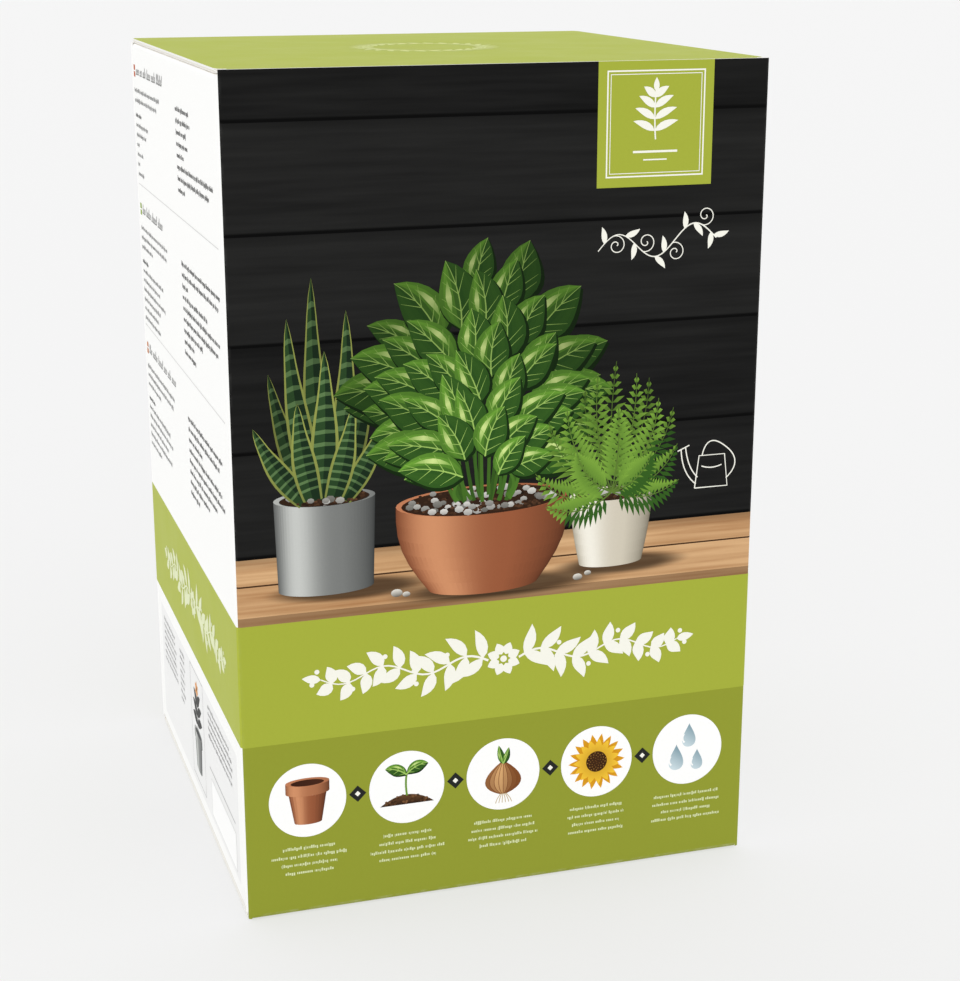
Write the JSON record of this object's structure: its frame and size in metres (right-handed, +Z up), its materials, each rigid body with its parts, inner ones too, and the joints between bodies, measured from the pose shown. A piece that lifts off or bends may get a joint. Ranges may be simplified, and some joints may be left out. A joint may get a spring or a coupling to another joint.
{
  "type": "printed folding carton",
  "caption": "Upright square retail carton of thin fluted board: hinged tuck-in lid over folding dust flaps, glued overlapping bottom, open storage space inside",
  "frame": {"origin": "middle of the base, on the surface the carton stands on", "axes": "+Z up along the longest side, -Y is the printed front, +X is the right side seen from the front"},
  "size_m": [0.2, 0.2, 0.31],
  "materials": {
    "front_print": "coated print, semi-gloss",
    "white_print": "coated print, semi-gloss",
    "green_print": "coated print, semi-gloss",
    "plain_board": "uncoated board, matt"
  },
  "bodies": {
    "carton": {"front_panel": "front_print", "back_panel": "front_print", "left_panel": "white_print", "right_panel": "white_print", "glue_flap": "plain_board", "bottom_outer_flap": "green_print", "bottom_inner_flap": "green_print", "bottom_dust_left": "white_print", "bottom_dust_right": "white_print"},
    "lid": {"lid": "green_print"},
    "tuck_flap": {"tuck_flap": "green_print"},
    "dust_flap_left": {"top_dust_left": "white_print"},
    "dust_flap_right": {"top_dust_right": "white_print"}
  },
  "joints": [
    {"name": "lid_hinge", "type": "hinge", "parent": "carton", "child": "lid", "pos_m": [0, 0.1, 0.31], "axis": [-1, 0, 0], "range_deg": [0, 176]},
    {"name": "tuck_hinge", "type": "hinge", "parent": "lid", "child": "tuck_flap", "pos_m": [0, -0.097, 0.31], "axis": [-1, 0, 0], "range_deg": [0, 44]},
    {"name": "dust_hinge_left", "type": "hinge", "parent": "carton", "child": "dust_flap_left", "pos_m": [-0.1, 0, 0.3082], "axis": [0, -1, 0], "range_deg": [0, 88]},
    {"name": "dust_hinge_right", "type": "hinge", "parent": "carton", "child": "dust_flap_right", "pos_m": [0.1, 0, 0.3082], "axis": [0, 1, 0], "range_deg": [0, 88]}
  ],
  "couplings": [
    {"joint": "tuck_hinge", "follows": "lid_hinge", "ratio": 0.25},
    {"joint": "dust_hinge_left", "follows": "lid_hinge", "ratio": 0.5},
    {"joint": "dust_hinge_right", "follows": "lid_hinge", "ratio": 0.5}
  ]
}
